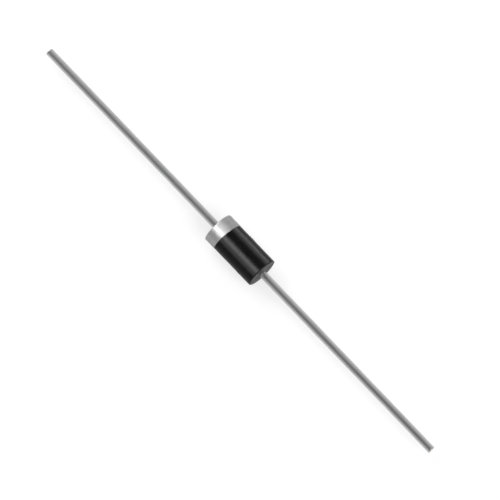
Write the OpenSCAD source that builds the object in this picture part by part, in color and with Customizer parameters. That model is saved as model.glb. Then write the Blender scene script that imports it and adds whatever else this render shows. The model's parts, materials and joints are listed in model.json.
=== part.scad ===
// Axial rectifier diode: a moulded body with a wire lead at each end.
// Millimetres. The leads lie on the X axis: anode towards +X, banded cathode end towards -X.
// The origin is the middle of the body. The mould halves part on the plane Z = 0.

/* [Body] */
// Diameter of the moulded body
body_d = 3.5; // [3.1:0.05:4.2]
// Length of the moulded body, measured at the leads
body_len = 6.8; // [5.8:0.1:7.6]
// Radius of the rounded edge at each end
edge_r = 0.14; // [0.06:0.01:0.3]
// Slope of each end face in degrees, which lets it leave the mould
end_draft = 1.5; // [0.5:0.5:4]
// Height of the witness line where the mould halves met
seam_h = 0.03; // [0.01:0.01:0.06]
// Width of the witness line
seam_w = 0.08; // [0.04:0.01:0.2]

/* [Gate scar] */
// Length of the scar along the body, where the resin runner broke off
gate_len = 0.9; // [0.5:0.1:1.5]
// Thickness of the runner at the scar
gate_t = 0.3; // [0.2:0.05:0.5]
// How far the scar stands proud of the body
gate_h = 0.035; // [0.02:0.005:0.08]

/* [Cathode band] */
// Width of the printed band, measured from the cathode end
band_w = 1.55; // [0.8:0.05:2]
// Thickness of the ink
ink_t = 0.02; // [0.015:0.005:0.05]
// Strip of the rounded edge that the ink leaves bare
band_gap = 0.015; // [0.01:0.005:0.1]

/* [Leads] */
// Diameter of the tinned wire
lead_d = 0.82; // [0.71:0.01:0.86]
// Length of wire outside the body
lead_len = 25.4; // [20:0.1:30]
// Bevel that the cutter leaves round the wire's end
tip_bevel = 0.06; // [0.02:0.01:0.12]
// Diameter of the nail head that holds the chip
head_d = 1.9; // [1.6:0.05:2.1]
// Thickness of the nail head
head_t = 0.36; // [0.25:0.01:0.45]
// Diameter of the neck, where the heading die has thickened the wire
neck_d = 0.98; // [0.92:0.01:1.2]
// Length of the flare from the neck to the head
flare_len = 0.22; // [0.1:0.01:0.4]
// Depth inside the body at which the wire starts to thicken
swell_depth = 0.1; // [0.05:0.01:0.15]
// Number of grooves that the heading die's grips press into the wire
grip_count = 3; // [0:1:5]
// Distance from one grip groove to the next
grip_pitch = 0.35; // [0.2:0.05:0.45]
// Depth of each grip groove
grip_depth = 0.04; // [0.02:0.01:0.07]
// Radius of the grips' teeth
grip_r = 0.09; // [0.08:0.01:0.1]

/* [Chip stack] */
// Side of the square silicon die, at its base
die_side = 1.4; // [1.2:0.05:1.5]
// Thickness of the die
die_t = 0.26; // [0.2:0.01:0.32]
// How far each side of the die leans in, from its base to its etched face
die_bevel = 0.07; // [0.03:0.01:0.12]
// Thickness of each solder joint
solder_t = 0.06; // [0.04:0.01:0.1]
// Bare rim of the die around each solder joint
solder_rim = 0.04; // [0.02:0.01:0.1]

/* [Junction coating] */
// How far the silicone coating stands out past the rims of the nail heads, at its ends
coat_lip = 0.06; // [0.03:0.01:0.1]
// How much further it bulges at its middle
coat_bulge = 0.22; // [0.1:0.01:0.26]
// Strip at the back of each nail head's rim that the coating leaves bare
coat_stop = 0.1; // [0.05:0.01:0.15]

/* [Hidden] */
$fn = 96;

ANODE = 1;
CATHODE = -1;
body_r = body_d / 2;
lead_r = lead_d / 2;
head_r = head_d / 2;
neck_r = neck_d / 2;
die_top_side = die_side - 2 * die_bevel;
coat_end_r = head_r + coat_lip;
coat_r = coat_end_r + coat_bulge;

// Stations along the axis, from the middle of the body outwards
die_face = die_t / 2;
head_face = die_face + solder_t;
head_back = head_face + head_t;
neck_start = head_back + flare_len;
body_end = body_len / 2;
swell_start = body_end - swell_depth;
lead_tip = body_end + lead_len;
coat_end = head_back - coat_stop;

// Centre of the arc that rounds the body's edge, and the place where that arc ends
edge_centre_r = body_r - edge_r;
edge_centre = body_end - edge_centre_r * tan(end_draft) - edge_r / cos(end_draft);
edge_end = edge_centre + edge_r;

// Turns a profile drawn as [radius, distance along the axis] about the lead axis.
module turned() {
    rotate([0, 90, 0]) rotate_extrude() children();
}

// Puts a piece drawn for the anode end at the end given by side.
module at_end(side) {
    mirror([side == CATHODE ? 1 : 0, 0, 0]) children();
}

// Half of the body's outline at one end, with every surface moved outwards by grow.
module end_outline(grow) {
    arc_r = edge_r + grow;
    arc_start = [body_r + grow, edge_centre];
    arc_stop = [edge_centre_r + arc_r * sin(end_draft), edge_centre + arc_r * cos(end_draft)];
    tip = body_end + grow / cos(end_draft);
    polygon([[0, 0], [body_r + grow, 0], arc_start, arc_stop, [0, tip]]);
    translate([edge_centre_r, edge_centre]) circle(arc_r);
}

module body_outline(grow) {
    end_outline(grow);
    mirror([0, 1]) end_outline(grow);
}

// The witness line: a thin plate on the parting plane that stands just proud all round the body.
module seam_plate(grow) {
    linear_extrude(seam_w + 2 * grow, center = true)
        rotate(-90)
            for (side = [0, 1])
                mirror([side, 0]) body_outline(seam_h + grow);
}

// The outside of the moulding, moved outwards by grow.
module moulded_form(grow = 0) {
    turned() body_outline(grow);
    seam_plate(grow);
}

// What is left of the runner, on the parting line at the side of the body.
module gate_scar() {
    root = body_r / 2;
    translate([-gate_len / 2, root, -gate_t / 2])
        cube([gate_len, body_r + gate_h - root, gate_t]);
}

// Outline of a lead at the anode end: nail head, flare, thickened neck, wire and cut tip.
module lead_outline() {
    rim_r = head_r - head_t / 2;
    polygon([
        [0, head_face],
        [rim_r, head_face],
        [rim_r, head_back],
        [neck_r, neck_start],
        [lead_r, swell_start],
        [lead_r, lead_tip - tip_bevel],
        [lead_r - tip_bevel, lead_tip],
        [0, lead_tip]
    ]);
    translate([rim_r, (head_face + head_back) / 2]) circle(head_t / 2);
}

// Outlines of the grooves that the grips leave, along the tapered wire behind the flare.
module grip_outlines() {
    taper = (neck_r - lead_r) / (swell_start - neck_start);
    for (i = [1:1:grip_count]) {
        wire_r = neck_r - taper * i * grip_pitch;
        translate([wire_r - grip_depth + grip_r, neck_start + i * grip_pitch]) circle(grip_r);
    }
}

module lead_form() {
    turned()
        difference() {
            lead_outline();
            grip_outlines();
        }
}

// The outside of the silicone bead, a barrel whose side is one arc.
module coating_form() {
    arc_r = (coat_bulge * coat_bulge + coat_end * coat_end) / (2 * coat_bulge);
    turned()
        intersection() {
            translate([0, -coat_end]) square([coat_r, 2 * coat_end]);
            union() {
                translate([0, -coat_end]) square([coat_end_r, 2 * coat_end]);
                translate([coat_r - arc_r, 0]) circle(arc_r);
            }
        }
}

// A solder joint at the anode side, whose rim is drawn in between the two faces that it wets.
module solder_form(side_of_die) {
    joint_r = side_of_die / 2 - solder_rim;
    turned()
        difference() {
            translate([0, die_face]) square([joint_r, solder_t]);
            translate([joint_r, die_face + solder_t / 2]) circle(solder_t / 2);
        }
}

// One pair of the die's sloping sides, as a long bar along Z.
module die_bar() {
    linear_extrude(2 * die_side, center = true)
        polygon([
            [-die_face, -die_side / 2],
            [die_face, -die_top_side / 2],
            [die_face, die_top_side / 2],
            [-die_face, die_side / 2]
        ]);
}

module die_form() {
    intersection() {
        die_bar();
        rotate([90, 0, 0]) die_bar();
    }
}

module epoxy_body() {
    color([0.03, 0.03, 0.035])
        difference() {
            union() {
                moulded_form();
                gate_scar();
            }
            coating_form();
            for (side = [CATHODE, ANODE])
                at_end(side) lead_form();
        }
}

module cathode_band() {
    color([0.78, 0.78, 0.8])
        difference() {
            intersection() {
                moulded_form(ink_t);
                translate([-edge_end + band_gap, -body_d, -body_d])
                    cube([edge_end - band_gap - body_end + band_w, 2 * body_d, 2 * body_d]);
            }
            moulded_form();
        }
}

module cathode_lead() {
    color([0.66, 0.66, 0.67]) at_end(CATHODE) lead_form();
}

module anode_lead() {
    color([0.66, 0.66, 0.67]) at_end(ANODE) lead_form();
}

module silicon_die() {
    color([0.25, 0.26, 0.3]) die_form();
}

module cathode_solder() {
    color([0.55, 0.56, 0.58]) at_end(CATHODE) solder_form(die_side);
}

module anode_solder() {
    color([0.55, 0.56, 0.58]) at_end(ANODE) solder_form(die_top_side);
}

module junction_coating() {
    color([0.88, 0.88, 0.86])
        difference() {
            coating_form();
            die_form();
            for (side = [CATHODE, ANODE])
                at_end(side) lead_form();
            at_end(CATHODE) solder_form(die_side);
            at_end(ANODE) solder_form(die_top_side);
        }
}

epoxy_body();
cathode_band();
cathode_lead();
anode_lead();
silicon_die();
cathode_solder();
anode_solder();
junction_coating();
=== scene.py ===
"""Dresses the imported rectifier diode: moulded case, ink band, tinned leads and the chip stack inside.

The diode lies along X with its anode lead towards +X. Lengths are in metres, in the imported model's frame.
"""

import json
import logging
from dataclasses import dataclass
from enum import Enum
from functools import cached_property
from math import cos, pi, radians, sin, sqrt, tan
from typing import ClassVar

import bpy
import numpy as np
from bpy.types import Material, Node, NodeSocket as Socket, NodeTree, Object
from mathutils import Matrix, Vector


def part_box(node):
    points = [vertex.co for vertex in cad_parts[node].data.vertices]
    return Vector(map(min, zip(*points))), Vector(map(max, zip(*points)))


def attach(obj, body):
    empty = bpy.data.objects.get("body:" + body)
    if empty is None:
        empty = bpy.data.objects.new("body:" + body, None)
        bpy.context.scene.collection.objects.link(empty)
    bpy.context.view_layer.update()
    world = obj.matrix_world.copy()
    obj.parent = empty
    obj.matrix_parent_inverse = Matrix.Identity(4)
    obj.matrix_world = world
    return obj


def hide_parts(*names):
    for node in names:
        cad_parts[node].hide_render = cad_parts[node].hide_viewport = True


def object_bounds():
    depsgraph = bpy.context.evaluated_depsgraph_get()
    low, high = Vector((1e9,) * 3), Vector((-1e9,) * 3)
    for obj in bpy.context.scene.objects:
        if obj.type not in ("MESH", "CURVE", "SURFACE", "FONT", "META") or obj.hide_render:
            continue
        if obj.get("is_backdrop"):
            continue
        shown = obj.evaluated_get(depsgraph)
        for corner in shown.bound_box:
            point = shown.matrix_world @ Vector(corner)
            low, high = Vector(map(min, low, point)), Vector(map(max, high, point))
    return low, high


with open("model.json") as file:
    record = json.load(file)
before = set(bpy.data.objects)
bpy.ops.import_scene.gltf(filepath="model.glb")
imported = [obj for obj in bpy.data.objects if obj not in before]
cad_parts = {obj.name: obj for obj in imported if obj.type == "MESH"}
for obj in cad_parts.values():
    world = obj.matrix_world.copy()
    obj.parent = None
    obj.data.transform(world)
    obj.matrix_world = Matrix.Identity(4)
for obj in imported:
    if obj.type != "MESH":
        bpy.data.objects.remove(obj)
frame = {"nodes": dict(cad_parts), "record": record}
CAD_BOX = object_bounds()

log = logging.getLogger("diode")

Array = np.ndarray
Colour = tuple[float, float, float, float]
Pair = tuple[float, float]

MM = 0.001
WHITE = (1.0, 1.0, 1.0, 1.0)
BODY = "root"
SMOOTH_ANGLE = radians(38)
SAME_PLACE = 1e-9
NO_TRIANGLES = np.empty((0, 3), int)
# Mask of the case: real rubbed, matt resin at edges, seam and gate scar, and a painted sheen that makes the
# flat end faces paler.
WEAR_AND_SHEEN = "worn"
CUT = "cut"
THIN = "thin"


class Side(Enum):
    """The two ends of the diode, as directions along X."""

    CATHODE = -1
    ANODE = 1


# Lines in the half plane through the lead axis. Each is an array of [x, r] rows.


def straight(start: Pair, end: Pair, count: int) -> Array:
    """Places points evenly on a straight line.

    Args:
        start: First point, as distance along X and radius.
        end: Last point.
        count: Number of points, both ends included.

    Returns:
        Array of [x, r] rows: start + t * (end - start), for t from 0 to 1.
    """
    share = np.linspace(0.0, 1.0, count)[:, None]
    return np.asarray(start) + share * (np.asarray(end) - np.asarray(start))


def arc(centre: Pair, radius: float, from_deg: float, to_deg: float, count: int) -> Array:
    """Places points evenly on an arc.

    Args:
        centre: Centre of the arc, as distance along X and radius.
        radius: Radius of the arc.
        from_deg: Angle of the first point, where 0 is along +X and 90 away from the axis.
        to_deg: Angle of the last point.
        count: Number of points, both ends included.

    Returns:
        Array of [x, r] rows: centre + radius * (cos a, sin a).
    """
    angle = np.radians(np.linspace(from_deg, to_deg, count))
    return np.asarray(centre) + radius * np.stack([np.cos(angle), np.sin(angle)], axis=1)


def chain(*lines: Array) -> Array:
    """Joins lines end to end.

    Args:
        *lines: Arrays of [x, r] rows.

    Returns:
        All their points in order, without those that repeat the one before.
    """
    points = np.concatenate(lines)
    step = np.linalg.norm(np.diff(points, axis=0), axis=1)
    return points[np.concatenate([[True], step > SAME_PLACE])]


def mirrored(half: Array, middle: Array) -> Array:
    """Joins the anode half of a line, its middle and the mirror image of that half at the cathode end."""
    return chain(half, middle, half[::-1] * [-1.0, 1.0])


def outward(line: Array) -> Array:
    """Finds the unit normals of a line, on its left-hand side.

    Args:
        line: Array of [x, r] rows.

    Returns:
        Array of [nx, nr] rows: the tangent by central differences, turned a quarter turn.
    """
    tangent = np.gradient(line, axis=0)
    tangent /= np.maximum(np.linalg.norm(tangent, axis=1, keepdims=True), 1e-12)
    return np.stack([-tangent[:, 1], tangent[:, 0]], axis=1)


def window(distance: Array, half_width: float, fade: float) -> Array:
    """Is 1 inside half_width of zero and falls over fade to 0, by the smooth step 3t^2 - 2t^3."""
    t = np.clip((half_width - np.abs(distance)) / fade, 0.0, 1.0)
    return t * t * (3.0 - 2.0 * t)


@dataclass(frozen=True)
class Ripple:
    """A smooth random surface that closes on itself round the axis.

    Attributes:
        seed: Seed of the random draws.
        wave: Typical wavelength along X.
        turns: Greatest number of waves round the axis.
        count: Number of waves that are added up.
    """

    seed: int
    wave: float
    turns: int
    count: int = 14

    def at(self, angle: Array, x: Array) -> Array:
        """Adds up count cosines of (k x + m angle + phase), where every m is whole.

        Args:
            angle: Angles round the axis.
            x: Distances along X, of a shape that broadcasts with angle.

        Returns:
            The height at each place, scaled to about -1 to 1.
        """
        rng = np.random.default_rng(self.seed)
        k = 2.0 * pi / self.wave * rng.uniform(0.4, 1.3, self.count) * rng.choice([-1.0, 1.0], self.count)
        m = rng.integers(0, self.turns + 1, self.count)
        phase = rng.uniform(0.0, 2.0 * pi, self.count)
        total = sum(np.cos(a * x + b * angle + c) for a, b, c in zip(k, m, phase))
        return total / sqrt(2.0 * self.count)


CASE_WAVES = Ripple(5, 1.6 * MM, 7)
BROKEN_SEAM = Ripple(11, 0.9 * MM, 3)
TORN_GATE = Ripple(23, 0.12 * MM, 90)
INNER_BORDER = Ripple(31, 1.0, 40)
OUTER_BORDER = Ripple(37, 1.0, 40)
INK_MOTTLE = Ripple(41, 0.5 * MM, 24)
MOST_INK = 1.15
WIRE_SEED = 53


# Grids of points, made into meshes.


def spin(x: Array, r: Array, angle: Array) -> Array:
    """Carries a profile round the X axis: each point is (x, r cos a, r sin a).

    Args:
        x: Distances along X, one row for each angle.
        r: Radii, of the same shape.
        angle: Angles round the axis, from +Y towards +Z, as a column.

    Returns:
        Array of shape (angles, profile points, 3).
    """
    return np.stack([x + 0.0 * angle, r * np.cos(angle), r * np.sin(angle)], axis=2)


def ring_quads(turns: int, rows: int, closed: bool) -> Array:
    """Lists the quads of a grid that closes round the axis, by index arithmetic.

    Args:
        turns: Number of angles.
        rows: Number of profile points.
        closed: Whether the profile joins its own start.

    Returns:
        Array of four point numbers a row.
    """
    turn = np.arange(turns)[:, None]
    row = np.arange(rows if closed else rows - 1)[None, :]
    here, there = turn * rows, (turn + 1) % turns * rows
    after = (row + 1) % rows
    return np.stack([here + row, there + row, there + after, here + after], axis=2).reshape(-1, 4)


def pole_fans(turns: int, rows: int) -> Array:
    """Lists the triangles that close a grid's first and last rows onto the two points after the grid.

    Args:
        turns: Number of angles.
        rows: Number of profile points.

    Returns:
        Array of three point numbers a row.
    """
    here = np.arange(turns) * rows
    there = np.roll(here, -1)
    first = np.stack([np.full(turns, turns * rows), there, here], axis=1)
    last = np.stack([np.full(turns, turns * rows + 1), here + rows - 1, there + rows - 1], axis=1)
    return np.concatenate([first, last])


def make_piece(
    name: str, points: Array, quads: Array, triangles: Array, masks: dict[str, Array]
) -> Object:
    """Puts arrays of points and faces into a new mesh object, with every face pointing outwards.

    The faces are turned round if the volume that they close, the sum of a . (b x c), is negative.

    Args:
        name: Name of the piece.
        points: Array of points.
        quads: Array of four point numbers a row.
        triangles: Array of three point numbers a row, which may be empty.
        masks: One value from 0 to 1 a point, by name, for the materials.

    Returns:
        The piece, linked to the scene.
    """
    halves = np.concatenate([quads[:, [0, 1, 2]], quads[:, [0, 2, 3]], triangles])
    a, b, c = (points[halves[:, corner]] for corner in range(3))
    if np.einsum("ij,ij->", a, np.cross(b, c)) < 0:
        quads, triangles = quads[:, ::-1], triangles[:, ::-1]
    sizes = np.concatenate([np.full(len(quads), 4), np.full(len(triangles), 3)])
    starts = np.concatenate([[0], np.cumsum(sizes)[:-1]])
    corners = np.concatenate([quads.ravel(), triangles.ravel()])
    mesh = bpy.data.meshes.new(name)
    mesh.vertices.add(len(points))
    mesh.vertices.foreach_set("co", points.astype(np.float32).ravel())
    mesh.loops.add(len(corners))
    mesh.loops.foreach_set("vertex_index", corners.astype(np.int32))
    mesh.polygons.add(len(sizes))
    mesh.polygons.foreach_set("loop_start", starts.astype(np.int32))
    mesh.polygons.foreach_set("use_smooth", np.ones(len(sizes), bool))
    for key, values in masks.items():
        layer = mesh.attributes.new(key, "FLOAT", "POINT")
        layer.data.foreach_set("value", values.astype(np.float32).ravel())
    mesh.update(calc_edges=True)
    mesh.validate()
    mesh.set_sharp_from_angle(angle=SMOOTH_ANGLE)
    piece = bpy.data.objects.new(name, mesh)
    bpy.context.scene.collection.objects.link(piece)
    return piece


def make_ring(name: str, grid: Array, masks: dict[str, Array]) -> Object:
    """Makes a piece of a grid that closes both round the axis and along its profile."""
    turns, rows = grid.shape[:2]
    return make_piece(name, grid.reshape(-1, 3), ring_quads(turns, rows, True), NO_TRIANGLES, masks)


# Shader nodes.


class Bench:
    """Adds and joins the nodes of one node tree."""

    def __init__(self, tree: NodeTree) -> None:
        """Takes the tree to work on."""
        self.tree = tree

    def add(self, kind: str, inputs: dict | None = None, **settings: object) -> Node:
        """Adds a node.

        Args:
            kind: The node's type name, without its ShaderNode prefix.
            inputs: Sockets to join to an output or to set to a plain value, by name or number.
            **settings: Properties of the node.

        Returns:
            The new node.
        """
        node = self.tree.nodes.new("ShaderNode" + kind)
        for key, value in settings.items():
            setattr(node, key, value)
        self.supply(node, inputs or {})
        return node

    def supply(self, node: Node, inputs: dict) -> None:
        """Feeds several of a node's sockets, each by its name or number."""
        for key, value in inputs.items():
            self.feed(node.inputs[key], value)

    def feed(self, socket: Socket, value: object) -> None:
        """Joins an output to a socket, or sets the socket to a plain value.

        Args:
            socket: The socket that takes the value.
            value: An output of another node, or the value itself.
        """
        if isinstance(value, Socket):
            self.tree.links.new(value, socket)
        else:
            socket.default_value = value

    def maths(self, operation: str, *values: object, clamp: bool = False) -> Socket:
        """Works out operation on one, two or three values or outputs."""
        return self.add("Math", dict(enumerate(values)), operation=operation, use_clamp=clamp).outputs[0]

    def spread(
        self, value: object, low: object, high: object, bottom: float = 0.0, top: float = 1.0
    ) -> Socket:
        """Maps a value that runs from bottom to top onto low to high, held at both ends."""
        return self.add("MapRange", {0: value, 1: bottom, 2: top, 3: low, 4: high}).outputs[0]

    def blend(self, share: object, first: object, second: object) -> Socket:
        """Mixes two colours.

        Args:
            share: How much of the second colour shows, from 0 to 1.
            first: The first colour.
            second: The second colour.

        Returns:
            The mixed colour.
        """
        node = self.add("Mix", data_type="RGBA")
        self.supply(node, {0: share, 6: first, 7: second})
        return node.outputs[2]

    def noise(self, vector: object, scale: object, detail: float = 2.0, rough: float = 0.5) -> Socket:
        """Reads a noise pattern, from 0 to 1 and mostly near 0.5."""
        inputs = {"Vector": vector, "Scale": scale, "Detail": detail, "Roughness": rough}
        return self.add("TexNoise", inputs).outputs["Fac"]

    def coordinates(self) -> Socket:
        """Reads the Object coordinates."""
        return self.add("TexCoord").outputs["Object"]

    def mask(self, name: str) -> Socket:
        """Reads one of the piece's own masks."""
        return self.add("Attribute", attribute_name=name).outputs["Fac"]

    def effect(self, tree: NodeTree, place: Socket, **values: float) -> Socket:
        """Places a shared effect.

        Args:
            tree: The effect's node group.
            place: The Object coordinates.
            **values: The effect's other inputs, with _ for a space in a name.

        Returns:
            The effect's output.
        """
        node = self.tree.nodes.new("ShaderNodeGroup")
        node.node_tree = tree
        named = {key.replace("_", " "): value for key, value in values.items()}
        self.supply(node, {"Vector": place, **named})
        return node.outputs[0]


class Effects:
    """The effects that several finishes share, each built once, when a finish first needs it.

    Each takes Object coordinates, and sizes in millimetres.
    """

    @staticmethod
    def start(name: str, output: str, **values: float) -> tuple[Bench, dict[str, Socket]]:
        """Starts a shader node group with a Vector input, more inputs that are values, and one output.

        Args:
            name: Name of the effect.
            output: Name of its output, a value.
            **values: The starting value of each other input, with _ for a space in its name.

        Returns:
            A bench on the group's tree, and its inner sockets: each input's output and the output's input.
        """
        tree = bpy.data.node_groups.new(name, "ShaderNodeTree")
        tree.interface.new_socket("Vector", in_out="INPUT", socket_type="NodeSocketVector")
        for key, value in values.items():
            label = key.replace("_", " ")
            made = tree.interface.new_socket(label, in_out="INPUT", socket_type="NodeSocketFloat")
            made.default_value = value
        tree.interface.new_socket(output, in_out="OUTPUT", socket_type="NodeSocketFloat")
        entry = tree.nodes.new("NodeGroupInput")
        end = tree.nodes.new("NodeGroupOutput")
        sockets = {key: entry.outputs[key.replace("_", " ")] for key in ("Vector", *values)}
        sockets[output] = end.inputs[output]
        return Bench(tree), sockets

    @staticmethod
    def per_mm(bench: Bench, size: object) -> Socket:
        """Turns a size in millimetres into a pattern scale, which is 1 over the size in metres."""
        return bench.maths("DIVIDE", 1.0 / MM, size)

    @cached_property
    def grain(self) -> NodeTree:
        """Fine grain: two noises, one 2.7 times as fine as the other, added up.

        Returns:
            The group, whose Height runs from 0 to 1.
        """
        bench, ends = self.start("fine grain", "Height", Size=0.05)
        scale = self.per_mm(bench, ends["Size"])
        coarse = bench.noise(ends["Vector"], scale, 3.0, 0.6)
        fine = bench.noise(ends["Vector"], bench.maths("MULTIPLY", scale, 2.7), 2.0, 0.6)
        total = bench.maths("MULTIPLY_ADD", fine, 0.35, bench.maths("MULTIPLY", coarse, 0.65))
        bench.feed(ends["Height"], total)
        return bench.tree

    @cached_property
    def clouds(self) -> NodeTree:
        """Broad uneven patches: one noise, stretched over the range from Low to High.

        Returns:
            The group, whose Value runs from Low to High.
        """
        bench, ends = self.start("uneven patches", "Value", Size=1.0, Low=0.0, High=1.0)
        patches = bench.noise(ends["Vector"], self.per_mm(bench, ends["Size"]), 4.0, 0.55)
        bench.feed(ends["Value"], bench.spread(patches, ends["Low"], ends["High"], 0.3, 0.7))
        return bench.tree

    @cached_property
    def strokes(self) -> NodeTree:
        """Parallel marks: a noise with one size along X and another across it.

        Returns:
            The group, whose Height runs from 0 to 1.
        """
        bench, ends = self.start("parallel marks", "Height", Along_X=0.5, Across_X=0.5)
        along, across = (self.per_mm(bench, ends[key]) for key in ("Along_X", "Across_X"))
        stretch = bench.add("CombineXYZ", {0: along, 1: across, 2: across}).outputs[0]
        place = bench.add("VectorMath", {0: ends["Vector"], 1: stretch}, operation="MULTIPLY").outputs[0]
        bench.feed(ends["Height"], bench.noise(place, 1.0, 3.0, 0.65))
        return bench.tree

    @cached_property
    def dust(self) -> NodeTree:
        """Sparse specks: small spots round the points of a cell pattern, in a share of its cells.

        Returns:
            The group, whose Mask is 1 in a speck.
        """
        bench, ends = self.start("sparse specks", "Mask", Spacing=0.4, Amount=0.1)
        scale = self.per_mm(bench, ends["Spacing"])
        cells = bench.add("TexVoronoi", {"Vector": ends["Vector"], "Scale": scale})
        spot = bench.spread(cells.outputs["Distance"], 1.0, 0.0, 0.04, 0.12)
        chosen = bench.add("SeparateColor", {0: cells.outputs["Color"]}).outputs[0]
        kept = bench.maths("LESS_THAN", chosen, ends["Amount"])
        bench.feed(ends["Mask"], bench.maths("MULTIPLY", spot, kept))
        return bench.tree


@dataclass(frozen=True)
class Relief:
    """One bump layer: how deep its pattern is, and how strongly it shows."""

    depth: float
    strength: float


@dataclass(frozen=True)
class Finish:
    """What every finish has in common: a material with one Principled shader. Pattern sizes are in mm."""

    name: str

    def start(self) -> tuple[Material, Bench, Node]:
        """Makes the material.

        Returns:
            The material, a bench on its tree, and its shader.
        """
        material = bpy.data.materials.new(self.name)
        material.use_nodes = True
        return material, Bench(material.node_tree), material.node_tree.nodes["Principled BSDF"]

    @staticmethod
    def emboss(bench: Bench, shader: Node, *layers: tuple[Socket, Relief]) -> None:
        """Stacks bump layers onto the shader's normal.

        Args:
            bench: The bench of the material.
            shader: The shader that takes the normal.
            *layers: Height and relief of each layer, coarse ones first.
        """
        normal = None
        for height, relief in layers:
            inputs = {"Height": height, "Distance": relief.depth, "Strength": relief.strength}
            if normal is not None:
                inputs["Normal"] = normal
            normal = bench.add("Bump", inputs).outputs[0]
        bench.feed(shader.inputs["Normal"], normal)


@dataclass(frozen=True)
class MouldingCompound(Finish):
    """Black filled epoxy as it leaves the mould: satin and finely grained, paler where it is rubbed matt,
    and paler on the flat end faces by a painted sheen.
    """

    name: str = "black_moulding_compound"
    deep: Colour = (0.0015, 0.0015, 0.0017, 1.0)
    pale: Colour = (0.004, 0.004, 0.0044, 1.0)
    # Pale grey that the mask mixes in: real rubbed resin at edges, seam and scar, and a painted sheen on
    # the flat end faces.
    matt_and_sheen: Colour = (0.085, 0.085, 0.087, 1.0)
    patch: float = 0.9
    grain: float = 0.045
    pit_spacing: float = 0.35
    pit_share: float = 0.12
    gloss: float = 0.12
    satin_patch: float = 0.55
    satin: Pair = (0.24, 0.32)
    matt_rough: float = 0.06
    pit_rough: float = 0.2
    patch_relief: Relief = Relief(0.004 * MM, 0.5)
    grain_relief: Relief = Relief(0.0015 * MM, 0.4)
    pit_relief: Relief = Relief(0.004 * MM, 0.5)

    def build(self, effects: Effects) -> Material:
        """Builds the material.

        Args:
            effects: The shared effects.

        Returns:
            The material.
        """
        material, bench, shader = self.start()
        place = bench.coordinates()
        cloud = bench.effect(effects.clouds, place, Size=self.patch)
        grain = bench.effect(effects.grain, place, Size=self.grain)
        pits = bench.effect(effects.dust, place, Spacing=self.pit_spacing, Amount=self.pit_share)
        # Mask of real wear at edges, seam and scar, and of painted sheen on the end faces; it pales the
        # colour and roughens the finish.
        worn = bench.maths("MULTIPLY", bench.mask(WEAR_AND_SHEEN), bench.spread(grain, 0.3, 1.0, 0.35, 0.6))
        colour = bench.blend(cloud, self.deep, self.pale)
        low, high = self.satin
        satin = bench.effect(effects.clouds, place, Size=self.satin_patch, Low=low, High=high)
        rough = bench.maths("MULTIPLY_ADD", worn, self.matt_rough, satin)
        looks = {
            "Base Color": bench.blend(worn, colour, self.matt_and_sheen),
            "Roughness": bench.maths("MULTIPLY_ADD", pits, self.pit_rough, rough),
            "Specular IOR Level": self.gloss,
        }
        bench.supply(shader, looks)
        flush = bench.maths("SUBTRACT", 1.0, pits)
        layers = (cloud, self.patch_relief), (grain, self.grain_relief), (flush, self.pit_relief)
        self.emboss(bench, shader, *layers)
        return material


@dataclass(frozen=True)
class SilverInk(Finish):
    """Printed silver ink: flakes in a binder, laid on by a wheel, so it is streaked round the case."""

    name: str = "printed_silver_ink"
    full: Colour = (0.47, 0.47, 0.47, 1.0)
    lean: Colour = (0.40, 0.40, 0.405, 1.0)
    bare: Colour = (0.08, 0.08, 0.085, 1.0)
    flake: float = 0.035
    streak: Pair = (0.06, 1.6)
    patch: float = 0.5
    hole_spacing: float = 0.22
    hole_share: float = 0.06
    metal: float = 0.95
    rough: Pair = (0.38, 0.46)
    streak_relief: Relief = Relief(0.0012 * MM, 0.35)
    flake_relief: Relief = Relief(0.002 * MM, 0.5)
    hole_relief: Relief = Relief(0.006 * MM, 0.6)

    def build(self, effects: Effects) -> Material:
        """Builds the material.

        Args:
            effects: The shared effects.

        Returns:
            The material.
        """
        material, bench, shader = self.start()
        place = bench.coordinates()
        along, across = self.streak
        flake = bench.effect(effects.grain, place, Size=self.flake)
        streak = bench.effect(effects.strokes, place, Along_X=along, Across_X=across)
        cloud = bench.effect(effects.clouds, place, Size=self.patch)
        holes = bench.effect(effects.dust, place, Spacing=self.hole_spacing, Amount=self.hole_share)
        load = bench.maths("MULTIPLY_ADD", streak, 0.5, bench.maths("MULTIPLY", cloud, 0.5))
        colour = bench.blend(bench.spread(load, 0.0, 1.0, 0.3, 0.7), self.lean, self.full)
        edge = bench.maths("MULTIPLY", bench.mask(THIN), bench.spread(flake, 0.2, 1.0, 0.4, 0.6))
        gone = bench.maths("MAXIMUM", edge, holes, clamp=True)
        looks = {
            "Base Color": bench.blend(gone, colour, self.bare),
            "Metallic": bench.spread(gone, self.metal, 0.0),
            "Roughness": bench.spread(flake, *self.rough, 0.35, 0.65),
        }
        bench.supply(shader, looks)
        flush = bench.maths("SUBTRACT", 1.0, holes)
        layers = (streak, self.streak_relief), (flake, self.flake_relief), (flush, self.hole_relief)
        self.emboss(bench, shader, *layers)
        return material


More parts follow.
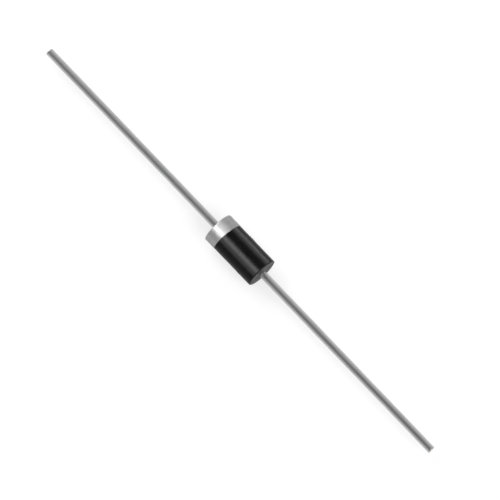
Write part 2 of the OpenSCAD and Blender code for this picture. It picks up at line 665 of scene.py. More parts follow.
@dataclass(frozen=True)
class TinnedCopper(Finish):
    """Drawn copper wire under dull tin: draw lines, matt patches, and tin smeared over the copper cut."""

    name: str = "dull_tin_on_copper"
    bright: Colour = (0.72, 0.72, 0.72, 1.0)
    dull: Colour = (0.58, 0.58, 0.59, 1.0)
    speck: Colour = (0.35, 0.35, 0.36, 1.0)
    copper: Colour = (0.52, 0.36, 0.28, 1.0)
    draw: Pair = (14.0, 0.07)
    patch: float = 1.3
    grain: float = 0.06
    speck_spacing: float = 0.5
    speck_share: float = 0.1
    smear: Pair = (0.4, 0.16)
    rough: Pair = (0.22, 0.34)
    cut_rough: float = 0.25
    speck_rough: float = 0.15
    patch_relief: Relief = Relief(0.003 * MM, 0.3)
    draw_relief: Relief = Relief(0.002 * MM, 0.15)
    grain_relief: Relief = Relief(0.001 * MM, 0.1)

    def build(self, effects: Effects) -> Material:
        """Builds the material.

        Args:
            effects: The shared effects.

        Returns:
            The material.
        """
        material, bench, shader = self.start()
        place = bench.coordinates()
        draw = bench.effect(effects.strokes, place, Along_X=self.draw[0], Across_X=self.draw[1])
        cloud = bench.effect(effects.clouds, place, Size=self.patch)
        grain = bench.effect(effects.grain, place, Size=self.grain)
        specks = bench.effect(effects.dust, place, Spacing=self.speck_spacing, Amount=self.speck_share)
        tarnish = bench.maths("MULTIPLY_ADD", draw, 0.4, bench.maths("MULTIPLY", cloud, 0.6))
        tin = bench.blend(tarnish, self.bright, self.dull)
        tin = bench.blend(bench.maths("MULTIPLY", specks, 0.5), tin, self.speck)
        cut = bench.mask(CUT)
        smear = bench.effect(effects.strokes, place, Along_X=self.smear[0], Across_X=self.smear[1])
        bare = bench.maths("MULTIPLY", cut, bench.spread(smear, 0.15, 0.9, 0.42, 0.52))
        rough = bench.maths("MULTIPLY_ADD", cut, self.cut_rough, bench.spread(tarnish, *self.rough))
        looks = {
            "Base Color": bench.blend(bare, tin, self.copper),
            "Metallic": 1.0,
            "Roughness": bench.maths("MULTIPLY_ADD", specks, self.speck_rough, rough),
        }
        bench.supply(shader, looks)
        layers = (cloud, self.patch_relief), (draw, self.draw_relief), (grain, self.grain_relief)
        self.emboss(bench, shader, *layers)
        return material


@dataclass(frozen=True)
class Inner(Finish):
    """A dull finish for what the case closes over: two tones, patchy, with a grain of its own."""

    first: Colour
    second: Colour
    metallic: float
    roughness: float
    patch: float
    grain: float
    depth: float

    def build(self, effects: Effects) -> Material:
        """Builds the material.

        Args:
            effects: The shared effects.

        Returns:
            The material.
        """
        material, bench, shader = self.start()
        place = bench.coordinates()
        cloud = bench.effect(effects.clouds, place, Size=self.patch)
        grain = bench.effect(effects.grain, place, Size=self.grain)
        looks = {
            "Base Color": bench.blend(cloud, self.first, self.second),
            "Metallic": self.metallic,
            "Roughness": bench.spread(cloud, self.roughness - 0.06, self.roughness + 0.06),
        }
        bench.supply(shader, looks)
        self.emboss(bench, shader, (cloud, Relief(2 * self.depth, 0.3)), (grain, Relief(self.depth, 0.5)))
        return material


# The pieces of the diode.


class OuterPiece:
    """What the pieces in sight share: a slot of the record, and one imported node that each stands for."""

    slot: ClassVar[str]
    node: str

    def build(self) -> Object:
        """Makes the mesh of the piece."""
        raise NotImplementedError

    def dress(self, piece: Object, material: Material) -> None:
        """Gives a built piece its finish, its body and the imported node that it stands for.

        Args:
            piece: The piece.
            material: Its finish.
        """
        piece.data.materials.append(material)
        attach(piece, BODY)
        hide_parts(self.node)
        places = np.empty(3 * len(piece.data.vertices), np.float32)
        piece.data.vertices.foreach_get("co", places)
        span = np.ptp(places.reshape(-1, 3), axis=0) / MM
        log.info("%s: %d faces, %.2f x %.2f x %.2f mm", piece.name, len(piece.data.polygons), *span)

    def make(self, material: Material) -> Object:
        """Builds the piece and dresses it.

        Args:
            material: Its finish.

        Returns:
            The piece.
        """
        piece = self.build()
        self.dress(piece, material)
        return piece


@dataclass
class WireForm:
    """The form of a lead at the anode end, shared by the wires and the cavity that holds them.

    Attributes:
        tip: Distance from the origin to the wire's cut end.
        wire_r: Radius of the wire.
        head_r: Radius of the nail head.
        face: Distance from the origin to the nail head's flat face.
    """

    tip: float
    wire_r: float
    head_r: float
    face: float
    head_t: float = 0.36 * MM
    neck_r: float = 0.49 * MM
    flare: float = 0.22 * MM
    swell_depth: float = 0.1 * MM
    grip_count: int = 3
    grip_pitch: float = 0.35 * MM
    grip_depth: float = 0.04 * MM
    grip_r: float = 0.09 * MM

    @property
    def back(self) -> float:
        """Distance from the origin to the back of the nail head."""
        return self.face + self.head_t

    @property
    def rim_centre(self) -> Pair:
        """Centre of the arc that rounds the nail head's rim."""
        return self.face + self.head_t / 2, self.head_r - self.head_t / 2

    def taper(self, swell: float) -> Array:
        """Follows the thickened wire from the place where it starts to swell to the back of the nail head.

        Args:
            swell: Distance from the origin at which the wire starts to swell.

        Returns:
            A line whose radius grows evenly to the neck and dips by the depth of each grip groove.
        """
        neck = self.back + self.flare
        line = straight((swell, self.wire_r), (neck, self.neck_r), 64)
        grip_centre = self.grip_r - self.grip_depth
        half = sqrt(self.grip_r**2 - grip_centre**2)
        for number in range(1, self.grip_count + 1):
            off = line[:, 0] - neck - number * self.grip_pitch
            dip = np.sqrt(np.maximum(self.grip_r**2 - off**2, 0.0)) - grip_centre
            line[:, 1] -= np.where(np.abs(off) < half, dip, 0.0)
        return chain(line, straight((neck, self.neck_r), (self.back, self.rim_centre[1]), 5))

    def rim(self, from_deg: float, to_deg: float) -> Array:
        """Follows the nail head's rounded rim."""
        return arc(self.rim_centre, self.head_t / 2, from_deg, to_deg, 15)


@dataclass
class CaseForm:
    """The outside of the moulding, shared by the case and the band printed on it.

    Attributes:
        radius: Radius of the case.
        end: Distance from the origin to the tip of each sloping end face, on the axis.
        seam_h: Height of the witness line on the parting plane.
        seam_w: Width of that line.
        seam_fade: Width over which each of its sides slopes down.
        edge_r: Radius of the rounded edge at each end.
        draft: Slope of the end faces.
        wave_h: Height of the faint waviness of the surface.
    """

    radius: float
    end: float
    seam_h: float = 0.03 * MM
    seam_w: float = 0.08 * MM
    seam_fade: float = 0.02 * MM
    edge_r: float = 0.14 * MM
    draft: float = radians(1.5)
    wave_h: float = 0.0022 * MM

    @property
    def edge_centre(self) -> Pair:
        """Centre of the arc that rounds the edge at the anode end."""
        r = self.radius - self.edge_r
        return self.face_x(r) - self.edge_r / cos(self.draft), r

    def face_x(self, r: float) -> float:
        """Distance from the origin to the end face, at radius r."""
        return self.end - r * tan(self.draft)

    def edge(self, count: int) -> Array:
        """Follows the rounded edge from the end face to the side."""
        return arc(self.edge_centre, self.edge_r, np.degrees(self.draft), 90.0, count)

    def seam(self, angle: Array, x: Array, r: Array) -> Array:
        """Height of the broken witness line: a ridge where |z| is small, uneven along its length.

        Args:
            angle: Angles round the axis, as a column.
            x: Distances along X.
            r: Radii.

        Returns:
            How far the surface stands out at each place.
        """
        ridge = window(r * np.sin(angle), self.seam_w / 2, self.seam_fade)
        uneven = BROKEN_SEAM.at(np.round(angle / pi) * pi, x - r)
        return self.seam_h * ridge * np.clip(0.72 + 0.45 * uneven, 0.12, 1.0)

    def angles(self) -> Array:
        """Lists the angles of the grid: close together at the parting plane, wider elsewhere.

        Returns:
            The angles round the axis, as a column.
        """
        near = np.concatenate([np.arange(0, 2.5, 0.25), np.arange(2.5, 6, 0.5), np.arange(6, 12, 1.0)])
        near, wide = np.radians(near), np.radians(np.linspace(12, 168, 66))
        half = np.concatenate([near, wide, (pi - near[::-1])[:-1]])
        return np.concatenate([half, half + pi])[:, None]


@dataclass
class MouldedCase(OuterPiece):
    """The black moulding, closed round the two nail heads and the coated chip.

    Attributes:
        form: The outside.
        wire: The form of the wires that it holds.
        gate_h: How far the runner's scar stands proud.
        coat_r: Radius of the cavity at its middle, where the chip's coating lies.
        coat_end: Distance from the origin to the ends of that coating.
        coat_lip: How far the coating stands out past the nail heads' rims at its ends.
        gate_half: Half the length of the scar.
        gate_t: Thickness of the scar.
        gate_fade: Widths over which the scar's ends and its sides slope down.
        even_to: Distance from the wire up to which the end faces stay even.
        even_fade: Distance over which their unevenness then sets in.
        bleed: Radius of the bead of resin that bleeds along each wire.
    """

    slot: ClassVar[str] = "moulding_compound"
    node: ClassVar[str] = "epoxy_body"

    form: CaseForm
    wire: WireForm
    gate_h: float
    coat_r: float
    coat_end: float
    coat_lip: float = 0.06 * MM
    gate_half: float = 0.45 * MM
    gate_t: float = 0.3 * MM
    gate_fade: Pair = (0.05 * MM, 0.03 * MM)
    even_to: float = 0.02 * MM
    even_fade: float = 0.08 * MM
    bleed: float = 0.015 * MM

    @property
    def mouth(self) -> Pair:
        """Where the anode end face would meet the outside of the bead of resin."""
        r = self.wire.wire_r + self.bleed
        return self.form.face_x(r), r

    def outside(self) -> Array:
        """Follows the outside from the anode wire's exit, over both edges, to the cathode wire's exit.

        Returns:
            Array of [x, r] rows.
        """
        edge = self.form.edge(13)
        face = straight(self.mouth, tuple(edge[0]), 26)
        side = straight(tuple(edge[-1]), (-edge[-1, 0], edge[-1, 1]), 120)
        return mirrored(chain(self.exit_bead(), face[1:], edge), side[1:-1])

    def exit_bead(self) -> Array:
        """Follows the thin bead of resin that bleeds along the wire where it leaves the case.

        Returns:
            Array of [x, r] rows: nearly a quarter of a circle, which touches wire and end face.
        """
        x, r = self.mouth
        return arc((x + self.bleed, r), self.bleed, 268.0, 182.0, 6)[::-1]

    def cavity(self) -> Array:
        """Follows the inside from the anode wire's exit to the cathode wire's: passage, nail head, coating.

        Returns:
            Array of [x, r] rows. The coating's side is one arc through its middle and both its ends.
        """
        wire = self.wire
        stop = np.degrees(np.arccos((self.coat_end - wire.rim_centre[0]) / (wire.head_t / 2)))
        bulge = self.coat_r - (wire.head_r + self.coat_lip)
        barrel_r = (bulge**2 + self.coat_end**2) / (2 * bulge)
        swing = np.degrees(np.arcsin(self.coat_end / barrel_r))
        barrel = arc((0.0, self.coat_r - barrel_r), barrel_r, 90.0 - swing, 90.0 + swing, 25)
        half = chain(wire.taper(self.form.end - wire.swell_depth), wire.rim(0.0, stop), barrel[:1])
        return mirrored(half, barrel[1:-1])

    def build(self) -> Object:
        """Carries the closed profile round the axis and lifts its outside by seam, gate scar and waviness.

        Returns:
            The case.
        """
        outside = self.outside()
        line = chain(outside, self.cavity()[::-1])
        if np.linalg.norm(line[0] - line[-1]) < SAME_PLACE:
            line = line[:-1]
        normal = np.zeros_like(line)
        normal[: len(outside)] = outward(outside)
        normal *= np.sign(normal[len(outside) // 2, 1])
        angle = self.form.angles()
        x, r = line[None, :, 0], line[None, :, 1]
        uneven = np.clip((r - self.wire.wire_r - self.even_to) / self.even_fade, 0.0, 1.0)
        outer = (np.arange(len(line)) < len(outside))[None, :] * uneven
        seam, gate = self.form.seam(angle, x, r), self.gate(angle, x, r)
        waves = self.form.wave_h * CASE_WAVES.at(angle, x + r)
        lift = outer * (np.maximum(seam, gate) + waves)
        grid = spin(x + lift * normal[None, :, 0], r + lift * normal[None, :, 1], angle)
        # The mask holds real wear and the painted sheen of the end faces.
        return make_ring("moulded_case", grid, {WEAR_AND_SHEEN: self.worn(x, r, seam, gate) * outer})

    def gate(self, angle: Array, x: Array, r: Array) -> Array:
        """Height of the broken runner's scar at the +Y side: a small block with a rough top.

        Args:
            angle: Angles round the axis, as a column.
            x: Distances along X.
            r: Radii.

        Returns:
            How far the surface stands out at each place.
        """
        here = np.cos(angle) > 0
        end_fade, side_fade = self.gate_fade
        long = window(x, self.gate_half, end_fade)
        block = long * window(r * np.sin(angle), self.gate_t / 2, side_fade)
        torn = 0.8 + 0.25 * TORN_GATE.at(angle, x)
        return self.gate_h * here * block * np.clip(torn, 0.3, 1.0)

    def worn(self, x: Array, r: Array, seam: Array, gate: Array) -> Array:
        """How pale and matt each place is: the rounded edges, the seam and the gate scar by real rubbing,
        and the flat end faces most, by a painted sheen.

        Args:
            x: Distances along X.
            r: Radii.
            seam: Height of the witness line.
            gate: Height of the gate scar.

        Returns:
            Values from 0 to 1.
        """
        edge_x, edge_r = self.form.edge_centre
        over_x = np.clip((np.abs(x) - edge_x) / self.form.edge_r, 0.0, 1.0)
        over_r = np.clip((r - edge_r) / self.form.edge_r, 0.0, 1.0)
        # The first term is real rubbing at the rounded edges; the over_x**4 term paints the flat end faces
        # paler, a painted sheen.
        ends = 0.2 * np.sqrt(over_x * over_r) + 0.7 * over_x**4
        ridge, scar = seam / self.form.seam_h, gate / self.gate_h
        return np.clip(ends + 0.5 * ridge + 0.7 * scar, 0.0, 1.0)


@dataclass
class InkBand(OuterPiece):
    """The silver band: a film of ink on the case, from its cathode edge inwards.

    Attributes:
        form: The outside of the case.
        inner_x: Place of the band's straight inner border.
        outer_x: Place of its outer border, on the rounded edge.
        thickness: Thickness of the ink.
        inner_rag: How uneven the inner border is.
        outer_rag: How uneven the outer border is.
        slant: How far the inner border leans over at each side.
        sunk: How deep the film's underside lies in the case.
        fade: Width of the strip over which the ink thins out.
        lap_at: Angle round the axis at which the print laps over its own start.
        lap_half: Half of the angle that the overlap fills.
        lap_fade: Angle over which each side of the overlap slopes down.
        lap_rise: How much thicker the ink is there, as a share.
    """

    slot: ClassVar[str] = "silver_ink"
    node: ClassVar[str] = "cathode_band"

    form: CaseForm
    inner_x: float
    outer_x: float
    thickness: float
    inner_rag: float = 0.012 * MM
    outer_rag: float = 0.008 * MM
    slant: float = 0.1 * MM
    sunk: float = 0.006 * MM
    fade: float = 0.05 * MM
    lap_at: float = radians(262.0)
    lap_half: float = radians(9.0)
    lap_fade: float = radians(1.5)
    lap_rise: float = 0.25

    def path(self) -> tuple[Array, Array]:
        """Follows the case under the band.

        Returns:
            The distance travelled to each point, and the points, from the middle to the cathode face.
        """
        edge = self.form.edge(25)[::-1] * [-1.0, 1.0]
        line = chain(straight((0.0, self.form.radius), tuple(edge[0]), 60), edge[1:])
        steps = np.linalg.norm(np.diff(line, axis=0), axis=1)
        return np.concatenate([[0.0], np.cumsum(steps)]), line

    def build(self) -> Object:
        """Lays a closed ring over the case.

        Each point follows the case's outline by a share of the way between the two uneven borders, and
        stands off it by the ink's thickness, which thins out at both borders.

        Returns:
            The band.
        """
        travel, line = self.path()
        normal = outward(line)
        normal *= np.sign(normal[0, 1])
        start, stop = (np.interp(-place, -line[:, 0], travel) for place in (self.inner_x, self.outer_x))
        angle = self.form.angles()
        share = 0.5 - 0.5 * np.cos(np.linspace(0.0, pi, 70))[None, :]
        first = start + self.inner_rag * INNER_BORDER.at(angle, 0.0 * angle) - self.slant * np.cos(angle)
        last = stop + self.outer_rag * OUTER_BORDER.at(angle, 0.0 * angle)
        way = first + share * (last - first)
        border = np.minimum(way - first, last - way)
        x, r = (np.interp(way, travel, line[:, n]) for n in (0, 1))
        nx, nr = (np.interp(way, travel, normal[:, n]) for n in (0, 1))
        seam = self.form.seam(angle, x, r)
        rise = seam + self.film(angle, way, border)
        top = spin(x + rise * nx, r + rise * nr, angle)
        under = spin(x + (seam - self.sunk) * nx, r + (seam - self.sunk) * nr, angle)
        thin = np.clip(1.0 - border / self.fade, 0.0, 1.0) ** 2
        masks = {THIN: np.concatenate([thin, thin[:, ::-1]], axis=1)}
        return make_ring("ink_band", np.concatenate([top, under[:, ::-1]], axis=1), masks)

    def film(self, angle: Array, way: Array, border: Array) -> Array:
        """Thickness of the ink: thin at the borders, mottled, and thicker where the print laps over.

        Args:
            angle: Angles round the axis, as a column.
            way: Distance travelled along the case's outline.
            border: Distance from the nearer border.

        Returns:
            The thickness at each place.
        """
        full = 0.3 + 0.7 * np.sqrt(np.clip(border / self.fade, 0.0, 1.0))
        mottle = 1.0 + 0.03 * INK_MOTTLE.at(angle, way)
        lap = 1.0 + self.lap_rise * window(angle - self.lap_at, self.lap_half, self.lap_fade)
        return self.thickness * full * np.clip(mottle, 0.8, MOST_INK) * lap / MOST_INK


@dataclass
class LeadWire(OuterPiece):
    """One lead: tinned wire outside the case, and its swollen neck and nail head inside.

    Attributes:
        side: The end that it belongs to.
        form: Its form.
        case: The case that it leaves.
        skew: How far the cut end leans.
        skew_turn: Direction in which it leans, as an angle round the axis.
        skew_reach: Length of wire that leans with it.
        lip: Radius of the rolled edge at the cut.
        burr: Height of the burr at one side of the cut.
        burr_at: Angle round the axis of the burr's middle.
        burr_half: Half of the angle that it fills.
        burr_fade: Angle over which each of its sides slopes down.
        cut_depth: Distance from the tip within which the cut laid the wire bare.
        cut_fade: Distance over which the tin then sets in.
        draw_h: Height of the unevenness that drawing leaves.
        draw_wave: Typical length of that unevenness.
    """

    slot: ClassVar[str] = "tinned_copper"

    side: Side
    form: WireForm
    case: CaseForm
    skew: float = radians(4.0)
    skew_turn: float = 0.9
    skew_reach: float = 0.5 * MM
    lip: float = 0.05 * MM
    burr: float = 0.012 * MM
    burr_at: float = radians(200.0)
    burr_half: float = radians(50.0)
    burr_fade: float = radians(40.0)
    cut_depth: float = 0.012 * MM
    cut_fade: float = 0.01 * MM
    draw_h: float = 0.002 * MM
    draw_wave: float = 2.4 * MM

    @property
    def node(self) -> str:
        """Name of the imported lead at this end."""
        return f"{self.side.name.lower()}_lead"

    def line(self) -> Array:
        """Follows the wire from the middle of its cut end, along its side, to the middle of its nail head.

        Returns:
            Array of [x, r] rows.
        """
        form = self.form
        swell = self.case.end - form.swell_depth
        roll = arc((form.tip - self.lip, form.wire_r - self.lip), self.lip, 0.0, 90.0, 9)
        cut = straight((form.tip, 0.0), tuple(roll[0]), 9)
        outside = straight(tuple(roll[-1]), (swell, form.wire_r), 160)
        rim = form.rim(0.0, 180.0)
        face = straight(tuple(rim[-1]), (form.face, 0.0), 8)
        return chain(cut, roll, outside, form.taper(swell)[1:], rim, face)

    def build(self) -> Object:
        """Carries the profile round the axis, and skews the cut end as cutters leave it.

        Near the tip, x falls by (tangent of the skew) * (height of the point over the lowest one), and
        rises by the burr at one side.

        Returns:
            The lead.
        """
        line, form = self.line(), self.form
        angle = np.radians(np.arange(0.0, 360.0, 5.0))[:, None]
        x, r = line[None, :, 0] + 0.0 * angle, line[None, :, 1] + 0.0 * angle
        cut = window(x - form.tip, self.cut_depth, self.cut_fade)
        outside = window(x - form.tip, form.tip - self.case.end, 0.4 * MM)
        skin = np.clip((r - 0.9 * form.wire_r) / (0.1 * form.wire_r), 0.0, 1.0)
        drawn = Ripple(WIRE_SEED + self.side.value, self.draw_wave, 5).at(angle, x)
        r = r + outside * skin * self.draw_h * drawn
        near_tip = np.clip(1.0 - (form.tip - x) / self.skew_reach, 0.0, 1.0) ** 2
        lean = tan(self.skew) * (r * np.cos(angle + self.skew_turn) + form.wire_r)
        burr = self.burr * window(angle - self.burr_at, self.burr_half, self.burr_fade)
        rise = near_tip * burr * (r > 0.8 * form.wire_r)
        grid = spin(self.side.value * (x - near_tip * lean + rise), r, angle)
        return self.close(grid, cut)

    def close(self, grid: Array, cut: Array) -> Object:
        """Makes the piece, with one point in place of each row of the grid that lies on the axis.

        Args:
            grid: The points, whose first and last rows lie on the axis.
            cut: How much each point belongs to the cut end, from 0 to 1.

        Returns:
            The lead.
        """
        inner = grid[:, 1:-1]
        turns, rows = inner.shape[:2]
        points = np.concatenate([inner.reshape(-1, 3), grid[:, [0, -1]].mean(axis=0)])
        mask = np.concatenate([cut[:, 1:-1].ravel(), [1.0, 0.0]])
        name = f"{self.side.name.lower()}_wire"
        return make_piece(name, points, ring_quads(turns, rows, False), pole_fans(turns, rows), {CUT: mask})


@dataclass
class ChipStack:
    """The chip, its two solder joints and their coating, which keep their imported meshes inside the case.

    Attributes:
        silicon: Finish of the chip.
        solder: Finish of the joints.
        silicone: Finish of the coating.
    """

    silicon: Inner = Inner(
        "silicon_chip",
        first=(0.20, 0.21, 0.24, 1.0),
        second=(0.27, 0.28, 0.31, 1.0),
        metallic=0.6,
        roughness=0.25,
        patch=0.5,
        grain=0.01,
        depth=0.0005 * MM,
    )
    solder: Inner = Inner(
        "solder_joint",
        first=(0.55, 0.56, 0.58, 1.0),
        second=(0.42, 0.43, 0.45, 1.0),
        metallic=1.0,
        roughness=0.42,
        patch=0.2,
        grain=0.03,
        depth=0.003 * MM,
    )
    silicone: Inner = Inner(
        "silicone_bead",
        first=(0.82, 0.82, 0.79, 1.0),
        second=(0.74, 0.74, 0.70, 1.0),
        metallic=0.0,
        roughness=0.38,
        patch=0.4,
        grain=0.05,
        depth=0.002 * MM,
    )

    def dress(self, effects: Effects) -> None:
        """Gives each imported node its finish.

        Args:
            effects: The shared effects.
        """
        finishes = {
            self.silicon: ("silicon_die",),
            self.solder: ("cathode_solder", "anode_solder"),
            self.silicone: ("junction_coating",),
        }
        for finish, nodes in finishes.items():
            material = finish.build(effects)
            for node in nodes:
                slots = frame["nodes"][node].data.materials
                slots.clear()
                slots.append(material)
                log.info("%s: finish %s", node, material.name)


# The studio.


@dataclass(frozen=True)
class Strip:
    """A strip lamp along the diode.

    Attributes:
        name: Its name.
        first: Its first long edge, as an angle in degrees from straight up, towards -Y where positive.
        last: Its other long edge.
        radiance: Brightness of its face, where 1 is white.
    """

    name: str
    first: float
    last: float
    radiance: float

    @property
    def middle(self) -> float:
        """Angle of its middle line in degrees."""
        return (self.first + self.last) / 2

    @property
    def half(self) -> float:
        """Half of the angle that it fills."""
        return radians(self.last - self.first) / 2


CASE_STRIPS = (
    Strip("case_key", 13.0, 38.0, 12.5),
    Strip("case_key_edge", 38.0, 66.0, 4.0),
    Strip("case_side", -70.0, -48.0, 2.9),
    Strip("case_side_low", -90.0, -70.0, 6.5),
)
BAND_STRIPS = (
    Strip("band_key", 12.0, 38.0, 4.3),
    Strip("band_fill", -34.0, 12.0, 0.85),
)


@dataclass
class Studio:
    """A white floor, a soft dome, two large lamps, the strips and a long lens.

    Attributes:
        centre: The middle of the diode.
        floor_z: Height of the surface that the diode lies on.
        azimuth: Direction that the camera looks from, from -Y towards +X.
        elevation: Height of the camera as an angle.
        frame_width: Width of what the picture shows, at the diode.
        aim: How far right of and above the diode's middle the camera points.
        end_tilt: Angle in degrees of each large lamp from straight up, towards its end of the diode.
        paper_glow: Light of the floor's own that the camera sees.
        paper_gloss: Light of the floor's own that reflections and glass see.
        dome_low: Brightness of the dome's darkest place.
        dome_high: Brightness of the dome low down.
        dark_tilt: Angle in degrees of the darkest place from straight up, towards -Y.
        strip_swing: Angle in degrees of the strips' middles out of the plane across the diode.
    """

    centre: Vector
    floor_z: float
    azimuth: float = radians(47.2)
    elevation: float = radians(74.9)
    lens: float = 1400.0
    sensor: float = 36.0
    frame_width: float = 51.15 * MM
    aim: Pair = (1.04 * MM, 0.02 * MM)
    end_tilt: float = 50.0
    end_distance: float = 400 * MM
    end_size: float = 250 * MM
    end_radiance: float = 3.7
    floor_half: float = 1.5
    paper: Colour = (0.4, 0.4, 0.4, 1.0)
    paper_rough: float = 0.95
    paper_glow: float = 0.68
    paper_gloss: float = 0.4
    dome_low: float = 0.08
    dome_high: float = 0.82
    dome_curve: float = 0.6
    dark_tilt: float = 19.0
    strip_reach: float = 60 * MM
    strip_length: float = 50 * MM
    strip_swing: float = -10.8

    def axes(self) -> tuple[Vector, Vector, Vector]:
        """Works out the view's directions from its azimuth and elevation.

        Returns:
            Right, up and back.
        """
        a, e = self.azimuth, self.elevation
        back = Vector((sin(a) * cos(e), -cos(a) * cos(e), sin(e)))
        right = Vector((cos(a), sin(a), 0.0))
        return right, back.cross(right), back

    @staticmethod
    def place(thing: Object, axes: tuple[Vector, Vector, Vector], point: Vector) -> None:
        """Turns a lamp or camera to three axes, puts it at a point and links it to the scene."""
        thing.matrix_world = Matrix.Translation(point) @ Matrix(axes).transposed().to_4x4()
        bpy.context.scene.collection.objects.link(thing)

    def add_camera(self) -> None:
        """Places the camera so that frame_width fills the picture at the diode's distance."""
        right, up, back = self.axes()
        distance = self.frame_width * self.lens / self.sensor
        data = bpy.data.cameras.new("camera")
        data.lens = self.lens
        data.sensor_width = self.sensor
        data.clip_start = distance * 0.01
        data.clip_end = distance * 4
        camera = bpy.data.objects.new("camera", data)
        target = self.centre + right * self.aim[0] + up * self.aim[1]
        self.place(camera, (right, up, back), target + back * distance)
        bpy.context.scene.camera = camera

    def add_lamp(
        self, name: str, tilt: float, swing: float, distance: float, size: Pair, radiance: float
    ) -> Object:
        """Hangs a soft lamp that faces the diode. Its power is radiance * pi * area.

        Args:
            name: Name of the lamp.
            tilt: Angle in degrees from straight up, towards -Y where positive.
            swing: Angle in degrees out of the plane across the diode, towards +X where positive.
            distance: Distance from the diode.
            size: Length across the diode's axis and length along it.
            radiance: Brightness of the lamp's face, where 1 is white.

        Returns:
            The lamp.
        """
        t, s = radians(tilt), radians(swing)
        towards = Vector((sin(s), -sin(t) * cos(s), cos(t) * cos(s)))
        across = Vector((1.0, 0.0, 0.0)).cross(towards).normalized()
        data = bpy.data.lights.new(name, "AREA")
        data.shape = "RECTANGLE"
        data.size, data.size_y = size
        data.energy = radiance * pi * size[0] * size[1]
        lamp = bpy.data.objects.new(name, data)
        lamp.visible_camera = False
        self.place(lamp, (across, towards.cross(across), towards), self.centre + towards * distance)
        return lamp

    def add_strips(self, strips: tuple[Strip, ...], piece: Object) -> None:
        """Hangs strip lamps close over the case, which only one piece reflects.

        Args:
            strips: The strips.
            piece: The piece that reflects them.
        """
        lit = bpy.data.collections.new(f"{piece.name}_strips")
        lit.objects.link(piece)
        for strip in strips:
            size = 2 * self.strip_reach * tan(strip.half), self.strip_length
            lamp = self.add_lamp(
                strip.name, strip.middle, self.strip_swing, self.strip_reach, size, strip.radiance
            )
            lamp.visible_diffuse = False
            lamp.light_linking.receiver_collection = lit

    def add_floor(self) -> None:
        """Lays the pale, matt floor, with light of its own that only picture, gloss and glass rays see."""
        reach = np.array([[-1, -1], [1, -1], [1, 1], [-1, 1]], float) * self.floor_half
        mesh = bpy.data.meshes.new("floor")
        mesh.from_pydata(np.column_stack([reach, np.full(4, self.floor_z)]).tolist(), [], [(0, 1, 2, 3)])
        floor = bpy.data.objects.new("floor", mesh)
        bpy.context.scene.collection.objects.link(floor)
        material, bench, shader = Finish("floor_paper").start()
        mesh.materials.append(material)
        path = bench.add("LightPath").outputs
        gloss = bench.maths("MAXIMUM", path["Is Glossy Ray"], path["Is Transmission Ray"])
        mirrored_glow = bench.maths("MULTIPLY", gloss, self.paper_gloss)
        glow = bench.maths("MULTIPLY_ADD", path["Is Camera Ray"], self.paper_glow, mirrored_glow)
        looks = {
            "Base Color": self.paper,
            "Roughness": self.paper_rough,
            "Specular IOR Level": 0.0,
            "Emission Color": WHITE,
            "Emission Strength": glow,
        }
        bench.supply(shader, looks)
        floor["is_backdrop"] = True

    def add_dome(self) -> None:
        """Makes the world: white to the camera, and otherwise a dome that is darkest at one place overhead.

        Its brightness goes from dome_low to dome_high by ((1 - c) / 1.5) to the power dome_curve, where
        c is the cosine of the angle from the darkest place.
        """
        world = bpy.data.worlds.new("dome")
        bpy.context.scene.world = world
        world.use_nodes = True
        bench = Bench(world.node_tree)
        background = world.node_tree.nodes["Background"]
        tilt = radians(self.dark_tilt)
        inputs = {0: bench.add("TexCoord").outputs["Generated"], 1: (0.0, -sin(tilt), cos(tilt))}
        near = bench.add("VectorMath", inputs, operation="DOT_PRODUCT").outputs["Value"]
        away = bench.maths("POWER", bench.spread(near, 1.0, 0.0, -0.5, 1.0), self.dome_curve)
        glow = bench.spread(away, self.dome_low, self.dome_high)
        path = bench.add("LightPath").outputs["Is Camera Ray"]
        strength = bench.add("Mix", {0: path, 2: glow, 3: 1.0}).outputs[0]
        bench.supply(background, {"Color": WHITE, "Strength": strength})

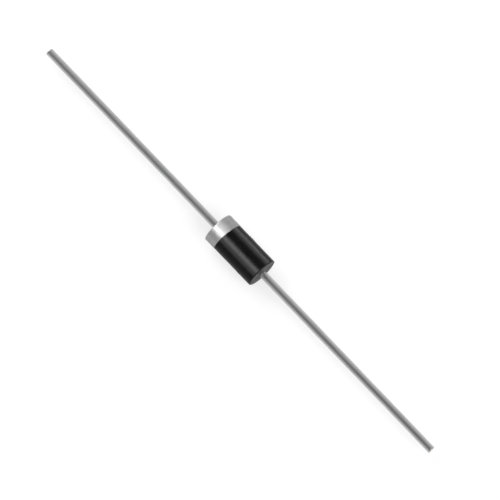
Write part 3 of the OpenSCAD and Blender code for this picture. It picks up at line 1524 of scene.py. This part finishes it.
    def build(self) -> None:
        """Sets up everything but the strips."""
        self.add_camera()
        self.add_floor()
        self.add_dome()
        size = self.end_size, self.end_size
        for side in Side:
            name, swing = f"{side.name.lower()}_lamp", self.end_tilt * side.value
            self.add_lamp(name, 0.0, swing, self.end_distance, size, self.end_radiance)
        bpy.context.scene.view_settings.view_transform = "Standard"
        log.info("studio: floor at %.3f mm", self.floor_z / MM)


# The whole diode.


def wire_form(side: Side) -> WireForm:
    """Measures one packed lead, as if it pointed towards +X, with the radius of its mount in the record.

    Args:
        side: The end that the lead belongs to.

    Returns:
        Its form.
    """
    name = f"{side.name.lower()}_lead"
    low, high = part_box(name)
    near, far = sorted((abs(low.x), abs(high.x)))
    mount = next(m for m in frame["record"]["mounts"] if m["name"] == name)
    return WireForm(tip=far, wire_r=mount["dims"]["r_mm"] * MM, head_r=high.y, face=near)


def case_form(wire: WireForm) -> CaseForm:
    """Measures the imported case: its witness line stands proud of it at the -Y side and at both ends.

    Args:
        wire: The form of the leads.

    Returns:
        The form of the outside.
    """
    low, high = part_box("epoxy_body")
    form = CaseForm(radius=-low.y, end=high.x)
    form.radius -= form.seam_h
    form.end += wire.wire_r * tan(form.draft) - form.seam_h / cos(form.draft)
    return form


def main() -> None:
    """Builds the finishes, the pieces and the studio in order."""
    logging.basicConfig(level=logging.INFO, format="%(name)s: %(message)s")
    effects = Effects()
    wires = {side: wire_form(side) for side in Side}
    form = case_form(wires[Side.ANODE])

    gate_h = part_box("epoxy_body")[1].y - form.radius
    coat_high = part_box("junction_coating")[1]
    case = MouldedCase(form, wires[Side.ANODE], gate_h, coat_r=coat_high.y, coat_end=coat_high.x)
    case_piece = case.make(MouldingCompound().build(effects))

    band_low, band_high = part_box("cathode_band")
    thickness = -band_low.y - form.radius - form.seam_h
    band = InkBand(form, inner_x=band_high.x, outer_x=band_low.x, thickness=thickness)
    band_piece = band.make(SilverInk().build(effects))

    tin = TinnedCopper().build(effects)
    for side, wire in wires.items():
        LeadWire(side, wire, form).make(tin)
    ChipStack().dress(effects)

    studio = Studio(centre=(CAD_BOX[0] + CAD_BOX[1]) / 2, floor_z=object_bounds()[0].z)
    studio.build()
    studio.add_strips(CASE_STRIPS, case_piece)
    studio.add_strips(BAND_STRIPS, band_piece)


if __name__ == "__main__":
    main()
